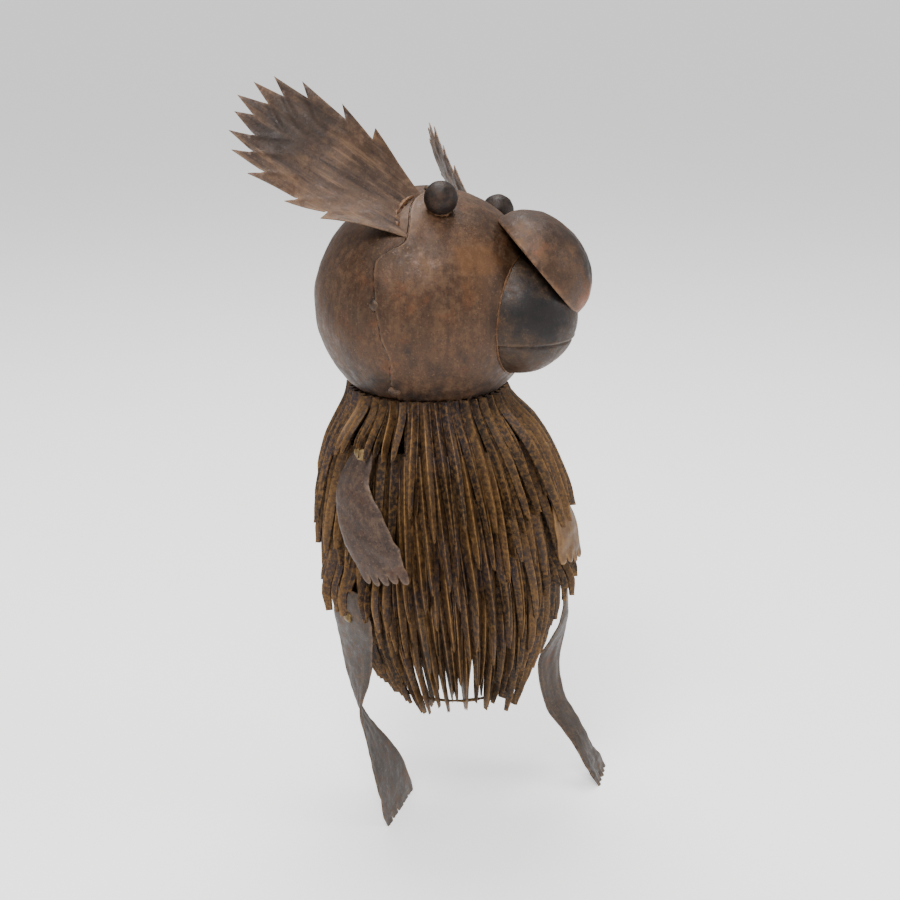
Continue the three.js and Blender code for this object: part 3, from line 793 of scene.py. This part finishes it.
def curve_point(stations, share):
    """Point on a centripetal curve through the stations, share from 0 to 1."""
    count = len(stations)
    at = (count - 1) * min(max(share, 0), 1)
    first = min(int(at), count - 2)
    weight = at - first
    one, two = stations[first], stations[first + 1]
    before = stations[first - 1] if first > 0 else one * 2 - two
    after = stations[first + 2] if first + 2 < count else two * 2 - one
    gap0, gap1, gap2 = (
        max((b - a).length, 1e-6) ** 0.5 for a, b in ((before, one), (one, two), (two, after)))
    leave = ((one - before) / gap0 - (two - before) / (gap0 + gap1) + (two - one) / gap1) * gap1
    reach = ((two - one) / gap1 - (after - one) / (gap1 + gap2) + (after - two) / gap2) * gap1
    square, cube = weight ** 2, weight ** 3
    return (one * (2 * cube - 3 * square + 1) + leave * (cube - 2 * square + weight)
            + two * (3 * square - 2 * cube) + reach * (cube - square))


profile_stations = [Vector((radius, 0, height)) for radius, height in BODY_PROFILE]
profile_points = [curve_point(profile_stations, i / 80) for i in range(81)]
profile_heights = [point.z for point in profile_points]
profile_radii = [point.x for point in profile_points]


def body_radius(height):
    return float(np.interp(height, profile_heights, profile_radii))


def around_body(angle, radius, height):
    return body_axis(height) + Vector((math.sin(angle) * radius, -math.cos(angle) * radius, 0))


def lift_over(angle, centres):
    most = 0
    for centre in centres:
        away = abs((math.degrees(angle) - centre + 180) % 360 - 180)
        most = max(most, smooth(away, 29, 20))
    return most


def strip_width(share):
    width = 1 - 0.7 * share ** 1.4
    if share > 0.86:
        width *= math.sqrt(max(1 - ((share - 0.86) / 0.16) ** 2, 0.02))
    return width


def spike_row(number):
    top, tip, tuck = SPIKE_ROWS[number]
    length = top - tip
    limbs = SHOULDERS if number == 0 else HIPS
    pitch = math.tau / STRIPS
    start_turn = (number % 2) * pitch * 0.5
    foot = top - BAND_HEIGHT
    points, faces, grain, wear_and_highlight, tone_and_shade = [], [], [], [], []

    def put(angle, height, rise):
        share = (top - height) / length
        lift = TUCK_LIFT * lift_over(angle, limbs) * smooth(share, *tuck) if tuck else 0
        radius = body_radius(height) + ROW_START + ROW_RAMP * share + rise + lift
        return around_body(angle, radius, height)

    across = [-1, -0.66, -0.33, -0.08, 0.08, 0.33, 0.66, 1]
    shares = [i / 14 for i in range(13)] + [0.9, 0.94, 0.97, 1.0]
    for layer in (0, 1):
        for i in range(STRIPS):
            seed = number * STRIPS + i + 1 + layer * 1000
            angle = start_turn + (i + 0.5 * layer) * pitch
            short = COLLAR_SHORT * lift_over(angle, limbs[:1]) if number == 0 else 0
            tip_angle = angle + scatter(seed) * pitch * (0.35 if layer == 0 else 0.5)
            reach = 1.01 + scatter(seed + 500) * TIP_SPREAD - 0.06 * layer
            tip_height = top - length * reach * (1 - short)
            half = pitch * (0.46 if layer == 0 else 0.4)
            base_rise = 1.3 * (i % 2) - 0.6 if layer == 0 else LAYER_SINK
            ridge = STRIP_RIDGE + scatter(seed + 90) * 1.1
            roll = scatter(seed + 170) * 1.5
            curl = STRIP_CURL + scatter(seed + 250) * 3.2
            # the second layer's tone is lowered: painted shade in the gaps between the outer strips
            own_tone_and_shade = (scatter(seed + 900) + 1) / 2 * (1 - 0.7 * layer)
            outer, inner = [], []
            for share in shares:
                height = top + (tip_height - top) * share
                mid = angle + (tip_angle - angle) * share
                width = strip_width(share)
                fold = 1 - 0.4 * smooth(share, 0.82, 1)
                row_points = []
                for s in across:
                    crease = (1 - abs(s)) ** 1.15
                    rise = base_rise - 1.4 + ridge * crease * fold + roll * s * share + curl * share ** 2.5
                    rise += 0.35 * noise.noise(Vector((s * 2, share * 7, seed * 1.7)))
                    ragged = 1 + 0.05 * noise.noise(Vector((share * 22, s, seed)))
                    row_points.append((mid + half * width * s * ragged, height, rise, s, crease))
                outer.append(add_ring(points, [put(a, h, r) for a, h, r, _, _ in row_points]))
                inner.append(add_ring(points, [put(a, h, r - STRIP_SHEET) for a, h, r, _, _ in row_points]))
                for back in (0, 1):
                    for _, _, _, s, crease in row_points:
                        grain.append((s * 9 + seed * 7, share * length * 0.1, seed))
                        # painted highlight along each strip's ridge; its sides and tip are lightened by
                        # wear and a painted highlight
                        ridge_highlight = smooth(crease, 0.55, 0.95) * (0.35 + 0.65 * own_tone_and_shade)
                        ridge_highlight *= smooth(share, 0.0, 0.3)
                        edge_wear_and_highlight = 0.25 * smooth(abs(s), 0.9, 1) + 0.4 * smooth(share, 0.93, 1)
                        wear_and_highlight.append(0 if back else min(ridge_highlight + edge_wear_and_highlight, 1))
                        # tone falls towards the strip's edges: painted shade where the strips meet
                        tone_and_shade.append(own_tone_and_shade * (1 - 0.7 * s * s))
            loops = [o + n[::-1] for o, n in zip(outer, inner)]
            faces += join_rings(loops)
            for ends in (loops[0], loops[-1]):
                for k in range(len(across) - 1):
                    faces.append((ends[k], ends[k + 1], ends[-2 - k], ends[-1 - k]))
    # The band that the strips hang from
    segments = 108
    band = []
    for height, rise in ((top, -3), (top, BAND_RISE - 3), (foot, BAND_RISE - 3), (foot, -3)):
        band.append(add_ring(points, [
            put(math.tau * k / segments, height, rise + 0.3 * scatter(k * 3 + number))
            for k in range(segments)]))
    faces += join_rings(band + [band[0]])
    missing = len(points) - len(wear_and_highlight)
    wear_and_highlight += [0.0] * missing
    # the band takes the lowest tone: painted shade under the head and the row above
    tone_and_shade += [0.0] * missing
    grain += [tuple(p) for p in points[-missing:]]
    return make_mesh(f"spikes_{number + 1}", points, faces, grain=grain, wear_and_highlight=wear_and_highlight, tone_and_shade=tone_and_shade, sharp=28)


spike_material = iron(
    "spike iron", srgb(84, 60, 40), srgb(158, 118, 66), srgb(34, 26, 22), patches=0.25, streaks=0.7,
    flecks=0.5, bloom=0.12, rust=srgb(140, 94, 46), metallic=0.5, bump=0.5, mottle=330)
# Each strip's own colour, darkened as painted shade in the second layer, towards each strip's edges and on
# the band, and heat colours in broad clouds, under the weathering
tree = spike_material.node_tree
skin = next(n for n in tree.nodes if n.type == "GROUP")
tone_and_shade = node(tree, "ShaderNodeAttribute", attribute_name="tone_and_shade").outputs["Fac"]
place = node(tree, "ShaderNodeTexCoord").outputs["Object"]
warm = mix(tree, spread(tree, tone_and_shade, 0.1, 0.9), srgb(40, 29, 23), srgb(104, 76, 46))
heat = cloud(tree, place, 17, 3, 0.6)
cool = calc(tree, "MULTIPLY", spread(tree, heat, 0.5, 0.62), spread(tree, tone_and_shade, 0.9, 0.35))
tree.links.new(mix(tree, cool, warm, srgb(62, 53, 58)), skin.inputs["Base"])
for number in range(len(SPIKE_ROWS)):
    finish_piece(spike_row(number), spike_material, "spike_iron", f"spike_row_{number + 1}")

# Bottom hoop: a thin iron wire bent to a ring and tacked inside the lowest strips,
# where it shows between their tips.
HOOP_WIRE = 2.6
HOOP_GAP = 0.35
HOOP_SHARE = 0.9  # share of the last row's length at which it sits
hoop_radius = body_radius(HOOP_HEIGHT) + ROW_START + ROW_RAMP * HOOP_SHARE - HOOP_GAP - HOOP_WIRE
points, faces, wear_and_highlight = [], [], []
hoop_path = [
    around_body(math.tau * j / 160, hoop_radius + 0.5 * scatter(j // 20), HOOP_HEIGHT) for j in range(160)]
bead(points, faces, wear_and_highlight, hoop_path, HOOP_WIRE / 2, 3, ripple=0.03)
hoop_material = iron(
    "hoop iron", srgb(88, 66, 42), srgb(150, 116, 70), srgb(38, 28, 22), bloom=0.5, streaks=0.0)
finish_piece(make_mesh("hoop", points, faces, wear_and_highlight=wear_and_highlight), hoop_material, "spike_iron", "bottom_hoop")

# Limbs: strips of thin sheet bent to shape, their ends snipped into digits. The arms
# are paddles welded at the shoulder; the legs twist at the ankle and fan into feet.
FINGER_LENGTH = 9
TOE_LENGTH = 13.5
# One station and half of the width, measured on the flat sheet before it is bent
FLAT_RUN = 25.0
FLAT_HALF = 17.0


def limb(name, node_name, stations, digits, digit_reach, material, seed, ground=False):
    """Each station is its centre, half of its width as a vector, and its bulge."""
    last = len(stations) - 1
    centres = [Vector(station[0]) for station in stations]
    halves = [Vector(station[1]) for station in stations]
    crowns = [station[2] for station in stations]
    heading = (centres[-1] - centres[-2]).normalized()

    def place(a, b):
        u = a / FLAT_RUN if a <= last * FLAT_RUN else last + (a - last * FLAT_RUN)
        v = b / FLAT_HALF
        share = min(max(u, 0), last) / last
        half = curve_point(halves, share)
        tangent = curve_point(centres, min(share + 1e-3, 1)) - curve_point(centres, max(share - 1e-3, 0))
        out = half.cross(tangent).normalized()
        crown = float(np.interp(min(u, last), range(last + 1), crowns))
        point = curve_point(centres, share) + heading * max(u - last, 0) + half * v
        return point + out * crown * (1 - v * v) + SHIFT

    end = last * FLAT_RUN
    upper = [(0.0, 0.72 * FLAT_HALF), (FLAT_RUN * 0.25, 0.92 * FLAT_HALF)]
    steps = last * 4
    for i in range(2, steps + 1):
        a = end * i / steps
        ragged = 0.03 * scatter(seed * 50 + i) if i < steps else 0
        upper.append((a, FLAT_HALF * (1 + ragged)))
    lower = [
        (a, -b + 0.03 * FLAT_HALF * scatter(seed * 90 + i)) for i, (a, b) in enumerate(upper)]
    tips = []
    notch = digit_reach * 0.2
    for i in range(digits):
        middle = (1 - (2 * i + 1) / digits) * FLAT_HALF
        half_tip = FLAT_HALF / digits
        reach = digit_reach * (1 + 0.2 * scatter(i + digits * 7))
        for k in range(7):
            turn = math.pi * k / 6
            tips.append((
                end + notch + (reach - notch) * (0.35 + 0.65 * math.sin(turn)),
                middle + half_tip * 0.86 * math.cos(turn)))
        if i < digits - 1:
            tips.append((end + notch, middle - half_tip))

    def relief(a, b, away):
        hammered = noise.noise(Vector((a / 15, b / 9, seed))) * 1.0
        fine = noise.noise(Vector((a / 6, b / 5, seed + 4.0))) * 0.35
        rim = 0.7 * smooth(away, 3.0, 0.2)
        return hammered + fine + rim

    piece = sheet_mesh(name, lower + tips[::-1] + upper[::-1], 1.5, place, relief,
                       wear_and_highlight_width=2.2, wear_and_highlight_most=0.95, ground=ground)
    finish_piece(piece, material, "limb_iron", node_name)
    return place


RIGHT_ARM = [
    ((-77.6, -39, 334), (-5.2, 8.6, 1), 2),
    ((-87.6, -38.8, 308), (-7.4, 15, -1.5), 2.5),
    ((-87.2, -48.2, 287), (-12, 19, -3), 3.2),
    ((-81.6, -62, 263), (-15.5, 18.4, -1.5), 3.6),
    ((-75.3, -70.2, 244), (-13.7, 15, -3.5), 2.6),
]
LEFT_ARM = [
    ((68, -39.6, 322), (-7, -10, 2), 2),
    ((75.6, -45.8, 297), (-10, -13.5, 2), 2.5),
    ((78, -53.5, 278), (-13, -16.5, 2), 3.5),
    ((83, -59, 254), (-16.5, -16, 2), 3.5),
    ((84.5, -62, 238), (-16, -15, 2), 2.5),
]
RIGHT_LEG = [
    ((-89.3, -31, 220), (-5, 16, 3), 3),
    ((-86.6, -27.2, 188), (-8, 23, 0), 3),
    ((-82, -20, 161), (-6, 22, -1.5), 3),
    ((-80, -20, 136), (-5, 13, -4), 2),
    ((-77, -13.4, 104), (2.2, 6, 0), 0),
    ((-66, -9, 76), (9, 13.5, 0), 0),
    ((-52, -6, 42), (17.5, 20, 0), 0),
    ((-42, -1, 9), (21, 26.5, 0), 0),
]
LEFT_LEG = [
    ((93.2, -27.1, 206), (-3.5, -17, -1.5), 3),
    ((97, -27, 168), (-8, -13, 0), 3),
    ((93, -10, 120), (-12, -4, -2), 1),
    ((102, -5, 78), (-10, -4, -4), 0),
    ((119, -6, 50), (-9, -7, -3), 0),
    ((132, -11, 24), (-11, -15, 0), 0),
    ((141, -11, 9), (-12, -17.5, 0), 0),
]
arm_material = iron(
    "arm iron", srgb(82, 64, 55), srgb(134, 108, 86), srgb(44, 35, 34), patches=0.5, streaks=0.45,
    flecks=0.8, bloom=0.2, metallic=0.4, mottle=240)
far_arm_material = iron(
    "far arm iron", srgb(128, 96, 62), srgb(176, 138, 92), srgb(62, 46, 36), patches=0.4, streaks=0.5,
    flecks=0.5, bloom=0.3, metallic=0.45)
leg_material = iron(
    "leg iron", srgb(70, 57, 48), srgb(124, 100, 78), srgb(40, 33, 30), patches=0.5, streaks=0.6,
    flecks=0.7, bloom=0.3, metallic=0.35, mottle=220)
limb_places = {
    "arm_right": limb("right_arm", "arm_right", RIGHT_ARM, 5, FINGER_LENGTH, arm_material, 1),
    "arm_left": limb("left_arm", "arm_left", LEFT_ARM, 4, FINGER_LENGTH, far_arm_material, 2),
    "leg_right": limb("right_leg", "leg_right", RIGHT_LEG, 5, TOE_LENGTH, leg_material, 3, True),
    "leg_left": limb("left_leg", "leg_left", LEFT_LEG, 5, TOE_LENGTH, leg_material, 4, True),
}

# Limb welds: yellowish blobs of weld, one to a limb, that fix the limbs to the strips
# at the shoulders and hips.
points, faces, wear_and_highlight = [], [], []
joints = [("arm_right", 5, 5.5), ("arm_left", 5, 5.0), ("leg_right", 20, 4.5), ("leg_left", 8, 4.5)]
for seed, (limb_name, a, size) in enumerate(joints):
    centre = limb_places[limb_name](a, 0)
    axis = body_axis(centre.z)
    outward = (centre - axis).normalized()
    blob(points, faces, wear_and_highlight, centre + outward * 0.6, outward, size, 2.6, seed)
joint_material = iron(
    "joint weld", srgb(120, 98, 60), srgb(182, 152, 96), srgb(52, 40, 28), patches=0.3, streaks=0.0,
    flecks=0.8, bloom=0.4, metallic=0.4)
finish_piece(make_mesh("limb_welds", points, faces, wear_and_highlight=wear_and_highlight), joint_material, "limb_iron")

# Studio: a pale floor and white surroundings, three soft lights from above and both
# sides, and a camera placed as in the photo.
floor_mesh = bpy.data.meshes.new("floor")
FLOOR_REACH = 60
floor_corners = [(x * FLOOR_REACH, y * FLOOR_REACH, 0) for x, y in ((-1, -1), (1, -1), (1, 1), (-1, 1))]
floor_mesh.from_pydata(floor_corners, [], [(0, 1, 2, 3)])
floor = bpy.data.objects.new("floor", floor_mesh)
bpy.context.scene.collection.objects.link(floor)
floor_material = bpy.data.materials.new("pale floor")
floor_material.use_nodes = True
tree = floor_material.node_tree
place = node(tree, "ShaderNodeTexCoord").outputs["Object"]
floor_colour = mix(tree, cloud(tree, place, 3, 2), (0.88, 0.88, 0.88, 1), (0.92, 0.92, 0.92, 1))
floor_shader = tree.nodes["Principled BSDF"]
tree.links.new(floor_colour, floor_shader.inputs["Base Color"])
floor_shader.inputs["Roughness"].default_value = 0.9
floor_shader.inputs["Emission Color"].default_value = (1, 1, 1, 1)
floor_shader.inputs["Emission Strength"].default_value = 0.55
floor_mesh.materials.append(floor_material)

world = bpy.data.worlds.new("studio")
world.use_nodes = True
tree = world.node_tree
background = tree.nodes["Background"]
background.inputs["Color"].default_value = (1, 1, 1, 1)
SEEN_WHITE = 2.2  # the camera sees brighter surroundings than the statue is lit by
LIT_WHITE = 0.55
camera_sees = node(tree, "ShaderNodeLightPath").outputs["Is Camera Ray"]
tree.links.new(spread(tree, camera_sees, 0, 1, LIT_WHITE, SEEN_WHITE), background.inputs["Strength"])
bpy.context.scene.world = world

CAMERA_TARGET = Vector((6.2, -49.9, 313)) * MM
CAMERA_AWAY = Vector((-0.3427, -0.8928, 0.2924))
CAMERA_DISTANCE = 1.28


def soft_light(name, where, size, power):
    light = bpy.data.lights.new(name, "AREA")
    light.shape = "DISK"
    light.size = size
    light.energy = power
    lamp = bpy.data.objects.new(name, light)
    lamp.location = where
    lamp.rotation_euler = (CAMERA_TARGET - Vector(where)).to_track_quat("-Z", "Y").to_euler()
    bpy.context.scene.collection.objects.link(lamp)


soft_light("key", (-0.9, -1.2, 2.2), 0.9, 62)
soft_light("fill", (1.8, -1.2, 1.2), 1.0, 18)
soft_light("top", (0.1, 0.6, 2.4), 1.4, 58)

camera = bpy.data.objects.new("camera", bpy.data.cameras.new("camera"))
camera.data.lens = 64
camera.data.sensor_width = 36
camera.location = CAMERA_TARGET + CAMERA_AWAY * CAMERA_DISTANCE
camera.rotation_euler = (-CAMERA_AWAY).to_track_quat("-Z", "Y").to_euler()
bpy.context.scene.collection.objects.link(camera)
bpy.context.scene.camera = camera
